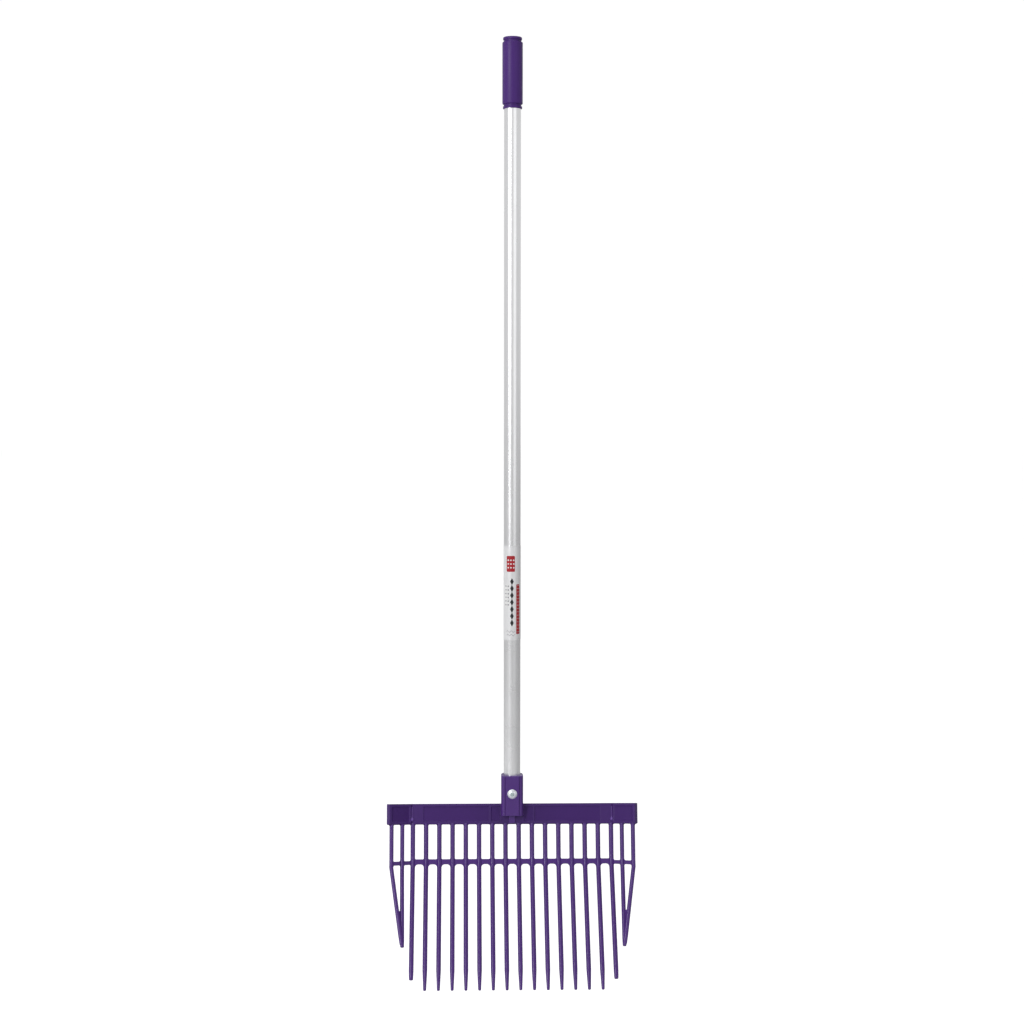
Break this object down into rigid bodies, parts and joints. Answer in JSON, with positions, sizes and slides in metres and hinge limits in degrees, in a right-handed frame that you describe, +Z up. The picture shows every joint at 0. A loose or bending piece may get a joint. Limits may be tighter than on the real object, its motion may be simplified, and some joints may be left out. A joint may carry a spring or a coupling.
{
  "type": "manure fork",
  "caption": "Long-handled manure fork: moulded basket head with forward-bent tines and folded sides, bolted to a straight tube with a closed push-on grip.",
  "frame": {"origin": "on the tube's axis, 405 mm above the socket's rim, where a wall clip holds the fork", "axes": "+Z up the tube to the grip, -Y to the front, which is the open side of the head, +X to the right seen from the front"},
  "size_m": [0.3778, 0.1515, 1.3905],
  "materials": {
    "head": "satin moulded, purple",
    "grip": "soft satin, purple",
    "tube": "drawn, satin",
    "fastener": "bright zinc plate",
    "label": null
  },
  "bodies": {
    "root": {"tube": "tube", "grip": "grip", "label": "label", "bolt": "fastener", "nut": "fastener", "socket": "head", "bar_left": "head", "bar_right": "head", "wing_left": "head", "wing_right": "head", "cross_rib": "head", "side_tine_left": "head", "side_tine_right": "head", "side_strut_left": "head", "side_strut_right": "head", "tine_01": "head", "tine_02": "head", "tine_03": "head", "tine_04": "head", "tine_05": "head", "tine_06": "head", "tine_07": "head", "tine_08": "head", "tine_09": "head", "tine_10": "head", "tine_11": "head", "tine_12": "head", "tine_13": "head", "tine_14": "head", "tine_15": "head", "tine_16": "head"}
  },
  "joints": []
}
